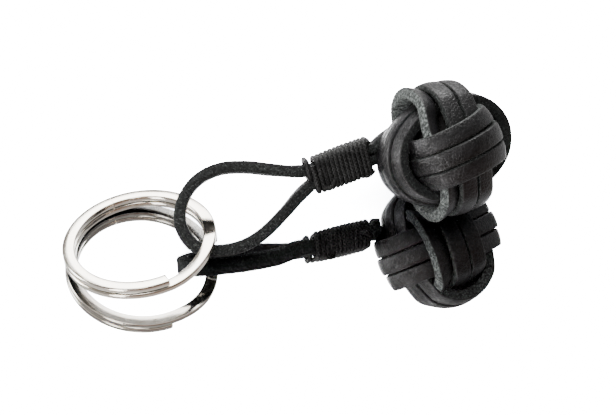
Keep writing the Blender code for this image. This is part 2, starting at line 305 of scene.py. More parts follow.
def lace(name, centres, sides, outs, closed, scale=None, pale=0.3):
    """A length of lace along a path, its grain dented and its cut edges rough."""
    section = lace_section(LACE_WIDTH, FLESH_WIDTH, LACE_THICKNESS)
    count = len(centres)
    scale = np.ones((count, 2)) if scale is None else scale
    edge = section[:, 2]
    flesh = section[:, 3]
    rings = centres[:, None, :] + sides[:, None, :] * (section[None, :, :1] * scale[:, None, :1])
    rings = rings + outs[:, None, :] * (section[None, :, 1:2] * scale[:, None, 1:])
    middle = section[:, :2] * array([1.0, 0.35])
    away = unit(middle)
    push = sides[:, None, :] * away[None, :, :1] + outs[:, None, :] * away[None, :, 1:]
    dents = np.zeros(rings.shape[:2])
    for i in range(count):
        for j in range(len(section)):
            p = Vector(rings[i, j])
            if edge[j] > 0.5:
                dents[i, j] = 0.07 * noise.noise(p * 1900.0) + 0.05 * noise.noise(p * 4700.0)
            else:
                dents[i, j] = 0.035 * noise.noise(p * 420.0) + 0.014 * noise.noise(p * 1700.0)
    rings = rings + push * (dents * MM)[:, :, None]
    values = {
        "cut_edge": np.tile(edge, count),
        "flesh": np.tile(flesh, count),
        "pale": np.full(count * len(section), pale),
    }
    return skin(name, rings, values, closed)


# ---------------- the fist

def fist_axes():
    """Directions of the fist: towards the front, to the right, and up."""
    level_front = Vector((math.sin(FIST_YAW), -math.cos(FIST_YAW), 0.0))
    right = Vector((math.cos(FIST_YAW), math.sin(FIST_YAW), 0.0))
    front = level_front * math.cos(FIST_LEAN) + Z_AXIS * math.sin(FIST_LEAN)
    return front, right, front.cross(right)


def strap_outline():
    """A middle turn's quarter as a taut strap over three turns, down to the ball."""
    half = LACE_THICKNESS / 2
    on_ball = CORE_RADIUS + TOUCH_GAP
    tilt = math.asin(TURN_PITCH / (on_ball + half)) * TURN_TILT
    corner = array((math.sqrt((on_ball + half) ** 2 - TURN_PITCH ** 2), TURN_PITCH))
    corner += array((math.cos(tilt), math.sin(tilt))) * half
    corner += array((-math.sin(tilt), math.cos(tilt))) * (LACE_WIDTH / 2)
    last_corner = math.atan2(corner[1], corner[0])
    on_top = math.hypot(*corner) + TOUCH_GAP * 2
    hub = on_top - TURN_BEND_RADIUS
    leave = last_corner + math.acos((on_ball - TURN_BEND_RADIUS) / hub)
    bend_centre = array((math.cos(last_corner), math.sin(last_corner))) * hub
    pieces = []
    for radius, centre, start, end in (
            (on_top + half, array((0.0, 0.0)), 0.0, last_corner),
            (TURN_BEND_RADIUS + half, bend_centre, last_corner, leave),
            (on_ball + half, array((0.0, 0.0)), leave, math.pi / 2)):
        angle = np.linspace(start, end, 40)
        pieces.append(centre + np.stack([np.cos(angle), np.sin(angle)], 1) * radius)
    return np.vstack(pieces), on_top + half, on_ball + half


def turn_outline(rounding, count=64):
    """All round a middle turn as (top, along) points; rounding pulls it to an ellipse."""
    strap, top, ball = strap_outline()
    angle = np.linspace(0.0, math.pi / 2, 200)
    oval = np.stack([np.cos(angle) * top, np.sin(angle) * ball], 1)
    strap = spaced(strap, 1e-6 + np.linalg.norm(np.diff(strap, axis=0), axis=1).sum() / count, False)
    oval = spaced(oval, 1e-6 + np.linalg.norm(np.diff(oval, axis=0), axis=1).sum() / count, False)
    size = min(len(strap), len(oval))
    quarter = strap[:size] * (1 - rounding) + oval[:size] * rounding
    back = quarter[-2::-1] * array((-1.0, 1.0))
    half = np.vstack([quarter, back])
    return np.vstack([half, -half[1:-1]])


def fist_turn(name, place, top, along, across, rounding, swell=1.0, tilt_share=TURN_TILT, pale=0.3, sway=0.0):
    """One turn of a set; place is its distance across, sway a sideways pull where it dives under."""
    path = spaced(turn_outline(rounding) * swell, LACE_STEP, True)
    tangent = directions(path, True)
    normal = np.stack([tangent[:, 1], -tangent[:, 0]], 1)
    radius = np.linalg.norm(path, axis=1)
    shrink = np.sqrt(1 - (place / radius) ** 2)
    tilt = np.arcsin(place / radius) * tilt_share
    top, along, across = array(top), array(along), array(across)
    level = normal[:, :1] * top + normal[:, 1:] * along
    centres = array(FIST_CENTRE) + (path[:, :1] * top + path[:, 1:] * along) * shrink[:, None]
    angle = np.arctan2(path[:, 1], path[:, 0])
    pull = sway * np.exp(-((angle - SWAY_MIDDLE) / SWAY_SPREAD) ** 2)
    centres = centres + across * (place + pull)[:, None]
    outs = level * np.cos(tilt)[:, None] + across * np.sin(tilt)[:, None]
    sides = across * np.cos(tilt)[:, None] - level * np.sin(tilt)[:, None]
    return lace(name, centres, sides, outs, True, pale=pale)


def build_fist():
    """The nine turns, each a little out of true as a hand lays them."""
    front, right, up = fist_axes()
    skew = Matrix.Rotation(SET_SKEW, 3, front)
    lean = Matrix.Rotation(OVER_SET_LEAN, 3, front)
    rough = random.Random(11)
    # Each set: its directions, places across, rounding, share of tilt, and how pale its edges are.
    sets = {
        "a": ((skew @ right, skew @ up, front), (3.6, 0.0, -3.55), 0.85, (0.5, 0.5, 0.5), (0.12, 0.2, 0.3)),
        "b": ((front, skew @ right, skew @ up), (3.6, 0.0, -3.6), 0.5, (0.72, 0.72, 0.72), (0.6, 0.3, 0.3)),
        "c": ((lean @ up, front, lean @ right), (3.1, -0.5, -4.5), 0.55, (0.6, 0.3, -1.2), (0.4, 0.6, 1.0)),
    }
    made = []
    for letter, (axes, places, rounding, tilts, pales) in sets.items():
        for number, place in enumerate(places, start=1):
            angle = math.radians(rough.uniform(-TURN_WOBBLE, TURN_WOBBLE))
            wobble = Matrix.Rotation(angle, 3, axes[0])
            swell = 1.0 + rough.uniform(-TURN_SWELL, TURN_SWELL)
            shape = rounding + rough.uniform(-TURN_SHAPE, TURN_SHAPE)
            tilt_share = tilts[number - 1]
            loose = tilt_share < 0
            if loose:
                swell += LOOSE_SWELL
            elif letter == "c":
                swell += TIGHT_SWELL
            sway = LOOSE_SWAY if loose else 0.0
            top, along, across = (wobble @ axis for axis in axes)
            name = f"fist_turn_{letter}{number}"
            pale = pales[number - 1]
            turn = fist_turn(
                name, place * MM, top, along, across, shape, swell, tilt_share, pale, sway)
            made.append((turn, f"fist_{letter}{number}"))
    return made


# ---------------- the handle

def handle_frame():
    """Direction of the handle, and the loop plane's own up and front directions."""
    along = Vector((
        math.cos(HANDLE_CLIMB) * math.cos(HANDLE_YAW),
        math.cos(HANDLE_CLIMB) * math.sin(HANDLE_YAW),
        math.sin(HANDLE_CLIMB)))
    back = Z_AXIS.cross(along).normalized()
    up = back * math.cos(LOOP_RISE) + along.cross(back) * math.sin(LOOP_RISE)
    return along, back, up, along.cross(up)


def handle_point(distance, rise):
    """A point on the handle, with the up and side directions that hold there."""
    along, back, up, side = handle_frame()
    t = min(max(1 + distance / TWIST_LENGTH, 0.0), 1.0)
    turn = Matrix.Rotation(WHIPPING_TWIST * t * t * (3 - 2 * t), 3, along)
    run = min(max(distance + HANDLE_BEND_LENGTH / 2, 0.0), HANDLE_BEND_LENGTH)
    beyond = max(distance - HANDLE_BEND_LENGTH / 2, 0.0)
    bend = math.tan(HANDLE_BEND) * (run ** 2 / (2 * HANDLE_BEND_LENGTH) + beyond)
    here_up = turn @ up
    centre = HANDLE_START + along * distance + back * bend
    return centre + here_up * rise, here_up, turn @ side


def framed(centres, side_rows):
    """Side and out directions square to a path."""
    tangent = directions(centres, False)
    sides = unit(side_rows - tangent * (side_rows * tangent).sum(1)[:, None])
    return sides, np.cross(sides, tangent)


def build_key_loop():
    """The run of lace that leaves the whipping, rounds the loop and comes back."""
    flat = spaced(smooth_curve([(u * MM, v * MM) for u, v in LOOP_OUTLINE], 12), LACE_STEP, False)
    places = [handle_point(u, v) for u, v in flat]
    centres = array([p[0] for p in places])
    sides, outs = framed(centres, array([p[2] for p in places]))
    squeeze = np.clip(flat[:, 0] / (2 * MM) + 1, 0.0, 1.0)
    scale = np.stack([
        1 + (WHIPPED_WIDTH / LACE_WIDTH - 1.04) * squeeze,
        1 + (WHIPPED_THICKNESS / LACE_THICKNESS - 1.02) * squeeze], 1)
    return lace("key_loop_lace", centres, sides, outs, False, scale, pale=PALE_LOOP)


def fist_point(right_mm, front_mm, up_mm):
    """A point set out from the middle of the fist, in millimetres."""
    front, right, up = fist_axes()
    return FIST_CENTRE + (right * right_mm + front * front_mm + up * up_mm) * MM


def build_neck():
    """Both strands from inside the whipping to the opening in the fist, each in two lengths."""
    side = handle_point(WHIPPING_LENGTH, 0.0)[2]
    routes = {
        "upper": (RUN_RISE, [(-10.9, -7.3, 4.7), (-9.2, -6.8, 5.4), (-7.2, -6.2, 6.0), (-5.6, -5.6, 6.4)]),
        "lower": (-RUN_RISE, [(-11.0, -7.7, 2.6), (-9.9, -8.4, 3.0), (-9.5, -8.4, 3.9)]),
    }
    made = []
    for label, (rise, stops) in routes.items():
        points = [handle_point(place, rise)[0] for place in NECK_STARTS]
        points += [fist_point(*stop) for stop in stops]
        centres = spaced(smooth_curve([tuple(p) for p in points], 12), LACE_STEP, False)
        sides, outs = framed(centres, np.tile(array(side), (len(centres), 1)))
        middle = int(len(centres) * NECK_SPLIT)
        spans = {"root": slice(0, middle + 1), "tip": slice(middle, len(centres))}
        for part, span in spans.items():
            scale = np.tile(array(NECK_SQUEEZE), (len(centres[span]), 1))
            piece = lace(
                f"neck_strand_{label}_{part}", centres[span], sides[span], outs[span],
                False, scale, pale=PALE_NECK)
            made.append((piece, part, f"neck_strand_{label}", centres[middle]))
    return made


# ---------------- geometry nodes

def new_tree(name, sizes):
    """An empty geometry node tree with named number inputs and a material input."""
    tree = bpy.data.node_groups.new(name, "GeometryNodeTree")
    tree.interface.new_socket("Geometry", in_out="INPUT", socket_type="NodeSocketGeometry")
    for label, value in sizes.items():
        kind = "NodeSocketInt" if isinstance(value, int) else "NodeSocketFloat"
        socket = tree.interface.new_socket(label, in_out="INPUT", socket_type=kind)
        socket.default_value = value
    tree.interface.new_socket("Material", in_out="INPUT", socket_type="NodeSocketMaterial")
    tree.interface.new_socket("Geometry", in_out="OUTPUT", socket_type="NodeSocketGeometry")
    return tree, tree.nodes.new("NodeGroupInput"), tree.nodes.new("NodeGroupOutput")


def wire(tree, links):
    """Join each node's output to the next node's input."""
    for source, given, target, taken in links:
        tree.links.new(source.outputs[given], target.inputs[taken])


def run_tree(tree, source, name, values):
    """Run a tree on a source object and return its result as a plain mesh object."""
    modifier = source.modifiers.new("build", "NODES")
    modifier.node_group = tree
    for item in tree.interface.items_tree:
        if item.in_out == "INPUT" and item.name in values:
            modifier[item.identifier] = values[item.name]
    bpy.context.view_layer.update()
    evaluated = source.evaluated_get(bpy.context.evaluated_depsgraph_get())
    mesh = bpy.data.meshes.new_from_object(evaluated)
    mesh.name = name
    source.modifiers.remove(modifier)
    return new_object(name, mesh)


def thread_tree():
    """Thread that follows a path, with its length and girth stored for the braid."""
    tree, given, result = new_tree("thread_along_path", {"Thread Radius": 0.0005, "Sides": 10})
    nodes = tree.nodes
    curve = nodes.new("GeometryNodeMeshToCurve")
    length = nodes.new("GeometryNodeSplineParameter")
    store_along = nodes.new("GeometryNodeStoreNamedAttribute")
    store_along.inputs["Name"].default_value = "thread_along"
    circle = nodes.new("GeometryNodeCurvePrimitiveCircle")
    girth = nodes.new("GeometryNodeSplineParameter")
    store_around = nodes.new("GeometryNodeStoreNamedAttribute")
    store_around.inputs["Name"].default_value = "thread_around"
    sweep = nodes.new("GeometryNodeCurveToMesh")
    sweep.inputs["Fill Caps"].default_value = True
    smooth = nodes.new("GeometryNodeSetShadeSmooth")
    real = nodes.new("GeometryNodeRealizeInstances")
    paint = nodes.new("GeometryNodeSetMaterial")
    wire(tree, [
        (given, "Geometry", curve, "Mesh"),
        (curve, "Curve", store_along, "Geometry"),
        (length, "Length", store_along, "Value"),
        (given, "Sides", circle, "Resolution"),
        (given, "Thread Radius", circle, "Radius"),
        (circle, "Curve", store_around, "Geometry"),
        (girth, "Factor", store_around, "Value"),
        (store_along, "Geometry", sweep, "Curve"),
        (store_around, "Geometry", sweep, "Profile Curve"),
        (sweep, "Mesh", smooth, "Geometry"),
        (smooth, "Geometry", real, "Geometry"),
        (real, "Geometry", paint, "Geometry"),
        (given, "Material", paint, "Material"),
        (paint, "Geometry", result, "Geometry"),
    ])
    return tree


def fibre_tree():
    """Short loose fibres that stand on the cut edges of a lace."""
    sizes = {"Density": 3.0e6, "Fibre Length": 0.0004, "Fibre Radius": 0.00002, "Seed": 1}
    tree, given, result = new_tree("cut_edge_fibres", sizes)
    nodes = tree.nodes
    edge = nodes.new("GeometryNodeInputNamedAttribute")
    edge.inputs["Name"].default_value = "cut_edge"
    chosen = nodes.new("FunctionNodeCompare")
    chosen.inputs["B"].default_value = 0.7
    scatter = nodes.new("GeometryNodeDistributePointsOnFaces")
    spike = nodes.new("GeometryNodeMeshCone")
    spike.inputs["Vertices"].default_value = 3
    spike.inputs["Radius Top"].default_value = 0.0
    lean = nodes.new("FunctionNodeRandomValue")
    lean.data_type = "FLOAT_VECTOR"
    lean.inputs["Min"].default_value = (-1.2, -1.2, 0.0)
    lean.inputs["Max"].default_value = (1.2, 1.2, 6.28)
    turned = nodes.new("FunctionNodeRotateEuler")
    turned.rotation_type = "EULER"
    turned.space = "LOCAL"
    grow = nodes.new("FunctionNodeRandomValue")
    grow.inputs["Min"].default_value = 0.35
    grow.inputs["Max"].default_value = 1.0
    plant = nodes.new("GeometryNodeInstanceOnPoints")
    real = nodes.new("GeometryNodeRealizeInstances")
    paint = nodes.new("GeometryNodeSetMaterial")
    wire(tree, [
        (edge, "Attribute", chosen, "A"),
        (given, "Geometry", scatter, "Mesh"),
        (chosen, "Result", scatter, "Selection"),
        (given, "Density", scatter, "Density"),
        (given, "Seed", scatter, "Seed"),
        (given, "Fibre Radius", spike, "Radius Bottom"),
        (given, "Fibre Length", spike, "Depth"),
        (given, "Seed", lean, "Seed"),
        (given, "Seed", grow, "Seed"),
        (scatter, "Points", plant, "Points"),
        (spike, "Mesh", plant, "Instance"),
        (scatter, "Rotation", turned, "Rotation"),
        (lean, "Value", turned, "Rotate By"),
        (turned, "Rotation", plant, "Rotation"),
        (grow, "Value", plant, "Scale"),
        (plant, "Instances", real, "Geometry"),
        (real, "Geometry", paint, "Geometry"),
        (given, "Material", paint, "Material"),
        (paint, "Geometry", result, "Geometry"),
    ])
    return tree


# ---------------- the whipping

def rounded_angle(side_half, rise_half, radius, t):
    """Even travel round the rounded box: the straight sides get their share of points."""
    quarter_arc = radius * math.pi / 2
    lengths = [quarter_arc, 2 * side_half, quarter_arc, 2 * rise_half] * 2
    total = sum(lengths[:4]) * 2
    wanted = (t % 1.0) * total
    corners = [(1, 1), (-1, 1), (-1, -1), (1, -1)]
    for index, span in enumerate(lengths):
        if wanted <= span or index == len(lengths) - 1:
            share = wanted / span
            corner = corners[index // 2]
            if index % 2 == 0:
                angle = (index // 2) * math.pi / 2 + share * math.pi / 2
                return (
                    corner[0] * side_half + radius * math.cos(angle),
                    corner[1] * rise_half + radius * math.sin(angle))
            after = corners[(index // 2 + 1) % 4]
            angle = (index // 2 + 1) * math.pi / 2
            return (
                (corner[0] + (after[0] - corner[0]) * share) * side_half + radius * math.cos(angle),
                (corner[1] + (after[1] - corner[1]) * share) * rise_half + radius * math.sin(angle))
        wanted -= span


def winding(start, pitches, rise_half, side_half, centre_rise, lift, steps=44):
    """Path of a thread wound round the bundle; pitches gives each turn's advance."""
    points = []
    place = start
    for number, pitch in enumerate(pitches):
        for step in range(steps):
            t = step / steps
            swell = lift(place)
            radius = THREAD_RADIUS + 0.10 * MM + swell
            side, rise = rounded_angle(side_half, rise_half, radius, -t)
            wander = THREAD_WANDER * noise.noise(Vector((number * 3.1, t * 2.0, 0.0)))
            centre, up, out = handle_point(place + wander, centre_rise)
            points.append(centre + out * side + up * rise)
            place += pitch / steps
    return array(points)


def path_object(name, points, closed):
    """A chain of edges for a thread tree to follow."""
    count = len(points)
    edges = [(i, i + 1) for i in range(count - 1)]
    if closed:
        edges.append((count - 1, 0))
    mesh = bpy.data.meshes.new(name)
    mesh.from_pydata(points.tolist(), edges, [])
    return new_object(name, mesh)


def thread_piece(tree, name, points, closed, radius, material):
    """One length of thread along a path."""
    guide = path_object(name + "_path", points, closed)
    values = {"Thread Radius": radius, "Sides": 12, "Material": material}
    piece = run_tree(tree, guide, name, values)
    bpy.data.objects.remove(guide, do_unlink=True)
    return piece


def build_whipping(tree, material):
    """The wound thread, its lead turn and the two tucked ends."""
    rise_half = 0.15 * MM + WHIPPED_THICKNESS
    side_half = WHIPPED_WIDTH / 2
    rough = random.Random(5)
    pitches = [0.93 + rough.uniform(-0.07, 0.07) for _ in range(WHIPPING_TURNS)]
    pitches[0] += 0.30
    share = (WHIPPING_LENGTH + 0.4 * MM - 2 * THREAD_RADIUS) / sum(pitches)
    pitches = [p * share for p in pitches]

    def lift(place):
        t = min(max(place / WHIPPING_LENGTH, 0.0), 1.0)
        return 0.30 * MM * math.sin(math.pi * min(t * 0.72 + 0.08, 1.0))

    path = winding(THREAD_RADIUS, pitches, rise_half, side_half, 0.0, lift)
    wound = thread_piece(tree, "whipping_thread", path, False, THREAD_RADIUS, material)
    loop = winding(LEAD_PLACE, [0.0], LACE_THICKNESS / 2, LACE_WIDTH / 2, LEAD_RISE, lambda place: 0.0)
    lead = thread_piece(tree, "whipping_lead_thread", loop, True, THREAD_RADIUS * LEAD_SHARE, material)
    tucks = []
    for number, (place, turn) in enumerate(((3.2, 0.80), (11.3, 0.66)), start=1):
        points = []
        for step in range(TUCK_STEPS + 1):
            t = step / TUCK_STEPS
            bow = math.sin(math.pi * t)
            radius = THREAD_RADIUS + TUCK_LIFT + TUCK_BOW * bow
            side, rise = rounded_angle(side_half, rise_half, radius, turn + 0.05 * (t - 0.5))
            centre, up, out = handle_point(place * MM + (t - 0.5) * TUCK_LENGTH, 0.0)
            points.append(centre + out * side + up * rise)
        name = f"whipping_tuck_{number}"
        tucks.append(thread_piece(tree, name, array(points), False, THREAD_RADIUS * TUCK_SHARE, material))
    return wound, lead, tucks


# ---------------- the ring

def wire_rings(start, end, count):
    """Sections of rounded flat wire between two sweep angles."""
    normal = array(RING_NORMAL)
    first = unit(array(X_AXIS) - normal * normal[0])
    second = np.cross(normal, first)
    radius = (RING_OUTER_DIAMETER - RING_WIRE_WIDTH) / 2
    level = (RING_WIRE_HEIGHT + RING_TURN_GAP) / 2
    sweep = np.linspace(start, end, count)
    t = np.clip((sweep - JOGGLE_START) / (JOGGLE_END - JOGGLE_START), 0.0, 1.0)
    height = level * (1 - 2 * t * t * (3 - 2 * t))
    angle = RING_UPPER_END - sweep
    outward = np.cos(angle)[:, None] * first + np.sin(angle)[:, None] * second
    centres = array(RING_CENTRE) + outward * radius + normal * height[:, None]
    half_width = RING_WIRE_WIDTH / 2 - RING_WIRE_ROUND
    half_height = RING_WIRE_HEIGHT / 2 - RING_WIRE_ROUND
    section = []
    for corner, (x, y) in enumerate(((1, 1), (-1, 1), (-1, -1), (1, -1))):
        for step in range(5):
            turn = (corner + step / 4) * math.pi / 2
            section.append((
                x * half_width + RING_WIRE_ROUND * math.cos(turn),
                y * half_height + RING_WIRE_ROUND * math.sin(turn)))
    section = array(section)
    return centres[:, None] + outward[:, None] * section[None, :, :1] + normal * section[None, :, 1:]


def tapered_ends(rings, at_start, at_end, width=0.12 * MM):
    """Round the wire's cut ends over by shrinking the last few sections."""
    rings = rings.copy()
    centres = rings.mean(1)
    step = np.linalg.norm(centres[1] - centres[0])
    count = max(int(width / step), 1)
    for i in range(count + 1):
        t = i / (count + 1)
        shrink = 1 - 0.12 * (1 - math.sqrt(max(1 - (1 - t) ** 2, 0.0)))
        if at_start:
            rings[i] = centres[i] + (rings[i] - centres[i]) * shrink
        if at_end:
            rings[-1 - i] = centres[-1 - i] + (rings[-1 - i] - centres[-1 - i]) * shrink
    return rings


def build_ring():
    """The coil and its springing outer half turn."""
    cut = END_CUT / ((RING_OUTER_DIAMETER - RING_WIRE_WIDTH) / 2)
    coil = tapered_ends(wire_rings(TONGUE_SWEEP, WIRE_SWEEP, COIL_SECTIONS), False, True)
    tongue = tapered_ends(wire_rings(0.0, TONGUE_SWEEP - cut, TONGUE_SECTIONS), True, False)
    return (
        skin("ring_coil", coil, {}, False, RING_SHARP),
        skin("ring_spring_end", tongue, {}, False, RING_SHARP))


# ---------------- shader groups

def new_group(name, numbers, outputs):
    """A shader node group with number inputs and colour or number outputs."""
    tree = bpy.data.node_groups.new(name, "ShaderNodeTree")
    for label, value in numbers.items():
        socket = tree.interface.new_socket(label, in_out="INPUT", socket_type="NodeSocketFloat")
        socket.default_value = value
    for label in outputs:
        tree.interface.new_socket(label, in_out="OUTPUT", socket_type="NodeSocketFloat")
    return tree, tree.nodes.new("NodeGroupInput"), tree.nodes.new("NodeGroupOutput")


def maths(tree, operation, first, second=None, clamp=False):
    """A math node on links or plain numbers; returns its output."""
    node = tree.nodes.new("ShaderNodeMath")
    node.operation = operation
    node.use_clamp = clamp
    for index, value in enumerate((first, second)):
        if value is None:
            continue
        if isinstance(value, (int, float)):
            node.inputs[index].default_value = value
        else:
            tree.links.new(value, node.inputs[index])
    return node.outputs[0]


def noise_value(tree, vector, scale, detail=4.0, rough=0.55):
    """Noise on a vector; scale is a number or a link."""
    node = tree.nodes.new("ShaderNodeTexNoise")
    node.inputs["Detail"].default_value = detail
    node.inputs["Roughness"].default_value = rough
    tree.links.new(vector, node.inputs["Vector"])
    if isinstance(scale, (int, float)):
        node.inputs["Scale"].default_value = scale
    else:
        tree.links.new(scale, node.inputs["Scale"])
    return node.outputs["Fac"]


def ranged(tree, value, low_in, high_in, low_out=0.0, high_out=1.0):
    """A clamped map range."""
    node = tree.nodes.new("ShaderNodeMapRange")
    tree.links.new(value, node.inputs["Value"])
    limits = {"From Min": low_in, "From Max": high_in, "To Min": low_out, "To Max": high_out}
    for label, number in limits.items():
        node.inputs[label].default_value = number
    return node.outputs["Result"]


def grain_group():
    """Fine creases and pebbles of dyed leather, and a slow change of tone."""
    sizes = {"Crease Scale": 1500.0, "Tone Scale": 260.0}
    tree, given, result = new_group("leather_grain", sizes, ("Height", "Tone"))
    place = tree.nodes.new("ShaderNodeTexCoord").outputs["Object"]
    creases = tree.nodes.new("ShaderNodeTexVoronoi")
    creases.feature = "DISTANCE_TO_EDGE"
    wander = tree.nodes.new("ShaderNodeTexNoise")
    wander.inputs["Scale"].default_value = 900.0
    mixed = tree.nodes.new("ShaderNodeMixRGB")
    mixed.blend_type = "ADD"
    mixed.inputs["Fac"].default_value = 0.0006
    tree.links.new(place, wander.inputs["Vector"])
    tree.links.new(place, mixed.inputs["Color1"])
    tree.links.new(wander.outputs["Color"], mixed.inputs["Color2"])
    tree.links.new(mixed.outputs["Color"], creases.inputs["Vector"])
    tree.links.new(given.outputs["Crease Scale"], creases.inputs["Scale"])
    pebble = ranged(tree, creases.outputs["Distance"], 0.0, 0.16)
    fine = noise_value(tree, place, 5200.0, 3.0)
    broad = noise_value(tree, place, 700.0, 3.0)
    height = maths(tree, "MULTIPLY", pebble, 0.45)
    height = maths(tree, "ADD", height, maths(tree, "MULTIPLY", fine, 0.30))
    height = maths(tree, "ADD", height, maths(tree, "MULTIPLY", broad, 0.5))
    tone = ranged(tree, noise_value(tree, place, given.outputs["Tone Scale"], 3.0), 0.35, 0.68)
    tone = maths(tree, "MULTIPLY", tone, ranged(tree, pebble, 0.0, 1.0, 0.75, 1.0))
    tree.links.new(height, result.inputs["Height"])
    tree.links.new(tone, result.inputs["Tone"])
    return tree


def fibre_group():
    """Speckle of packed fibres, as on cut leather, flesh side and braided thread."""
    sizes = {"Speck Scale": 5200.0, "Contrast": 1.0}
    tree, given, result = new_group("fibre_speckle", sizes, ("Speck", "Height"))
    place = tree.nodes.new("ShaderNodeTexCoord").outputs["Object"]
    fine = noise_value(tree, place, given.outputs["Speck Scale"], 5.0, 0.72)
    coarse = noise_value(tree, place, 1500.0, 3.0, 0.6)
    speck = maths(tree, "MULTIPLY", fine, 0.68)
    speck = maths(tree, "ADD", speck, maths(tree, "MULTIPLY", coarse, 0.32))
    speck = ranged(tree, speck, 0.40, 0.66)
    speck = maths(tree, "POWER", speck, given.outputs["Contrast"])
    tree.links.new(speck, result.inputs["Speck"])
    tree.links.new(fine, result.inputs["Height"])
    return tree


def wear_group():
    """Soft patches where a surface is rubbed or dull."""
    sizes = {"Patch Scale": 180.0, "Spread": 0.15}
    tree, given, result = new_group("rubbed_patches", sizes, ("Patch",))
    place = tree.nodes.new("ShaderNodeTexCoord").outputs["Object"]
    value = noise_value(tree, place, given.outputs["Patch Scale"], 4.0, 0.6)
    centred = maths(tree, "SUBTRACT", value, 0.5)
    patch = maths(tree, "DIVIDE", centred, given.outputs["Spread"])
    patch = maths(tree, "ADD", patch, 0.5, clamp=True)
    tree.links.new(patch, result.inputs["Patch"])
    return tree


GROUPS = {"grain": grain_group(), "fibre": fibre_group(), "wear": wear_group()}


# ---------------- materials

def new_material(name):
    """A node material, its tree and its shader."""
    material = bpy.data.materials.new(name)
    material.use_nodes = True
    tree = material.node_tree
    return material, tree, tree.nodes["Principled BSDF"]


def placed(tree, group, **numbers):
    """Place a shared group in a material with the material's own values."""
    node = tree.nodes.new("ShaderNodeGroup")
    node.node_tree = GROUPS[group]
    for label, value in numbers.items():
        node.inputs[label.replace("_", " ")].default_value = value
    return node


def attribute(tree, name):
    node = tree.nodes.new("ShaderNodeAttribute")
    node.attribute_name = name
    return node.outputs["Fac"]


def colours(tree, share, first, second):
    """Mix two colours, each a tuple or a link."""
    node = tree.nodes.new("ShaderNodeMix")
    node.data_type = "RGBA"
    tree.links.new(share, node.inputs["Factor"])
    for socket, value in ((node.inputs[6], first), (node.inputs[7], second)):
        if isinstance(value, tuple):
            socket.default_value = (*value, 1.0)
        else:
            tree.links.new(value, socket)
    return node.outputs[2]


def numbers_mix(tree, share, first, second):
    """Mix two numbers, each plain or a link."""
    node = tree.nodes.new("ShaderNodeMix")
    tree.links.new(share, node.inputs[0])
    for socket, value in ((node.inputs[2], first), (node.inputs[3], second)):
        if isinstance(value, (int, float)):
            socket.default_value = value
        else:
            tree.links.new(value, socket)
    return node.outputs[0]


def bump(tree, height, strength, distance):
    """A bump normal from a height."""
    node = tree.nodes.new("ShaderNodeBump")
    node.inputs["Strength"].default_value = strength
    node.inputs["Distance"].default_value = distance
    tree.links.new(height, node.inputs["Height"])
    return node.outputs["Normal"]


def lace_material(name, dark, light, crease_scale, gloss):
    """Black leather lace: satin grain, dusty flesh side and fibrous cut edges."""
    material, tree, shader = new_material(name)
    grain = placed(tree, "grain", Crease_Scale=crease_scale, Tone_Scale=300.0)
    fibre = placed(tree, "fibre", Speck_Scale=2600.0, Contrast=1.7)
    worn = placed(tree, "wear", Patch_Scale=330.0, Spread=0.22)
    edge = ranged(tree, attribute(tree, "cut_edge"), 0.25, 0.8)
    rough_side = maths(tree, "MAXIMUM", edge, attribute(tree, "flesh"))
    pale = attribute(tree, "pale")
    grain_colour = colours(tree, grain.outputs["Tone"], dark, light)
    dulled = ranged(tree, worn.outputs["Patch"], 0.0, 1.0, 0.6, 1.0)
    speck = maths(tree, "MULTIPLY", fibre.outputs["Speck"], dulled)
    edge_tone = maths(tree, "MULTIPLY", speck, ranged(tree, pale, 0.0, 1.0, 0.03, 1.0))
    edge_tone = maths(tree, "ADD", edge_tone, maths(tree, "MULTIPLY", pale, 0.05), clamp=True)
    edge_colour = colours(tree, edge_tone, (0.003, 0.003, 0.003), (0.42, 0.46, 0.44))
    tree.links.new(colours(tree, rough_side, grain_colour, edge_colour), shader.inputs["Base Color"])
    grain_rough = ranged(tree, grain.outputs["Tone"], 0.0, 1.0, gloss, gloss + 0.14)
    tree.links.new(numbers_mix(tree, rough_side, grain_rough, 0.95), shader.inputs["Roughness"])
    height = numbers_mix(tree, rough_side, grain.outputs["Height"], fibre.outputs["Height"])
    tree.links.new(bump(tree, height, 0.70, 0.00014), shader.inputs["Normal"])
    shader.inputs["Specular IOR Level"].default_value = 0.46
    return material


def fibre_material():
    """Loose fibres: from near black to pale grey, tone by place."""
    material, tree, shader = new_material("loose_leather_fibre")
    fibre = placed(tree, "fibre", Speck_Scale=2600.0, Contrast=1.2)
    colour = colours(tree, fibre.outputs["Speck"], (0.015, 0.015, 0.015), (0.34, 0.37, 0.355))
    tree.links.new(colour, shader.inputs["Base Color"])
    shader.inputs["Roughness"].default_value = 0.85
    return material


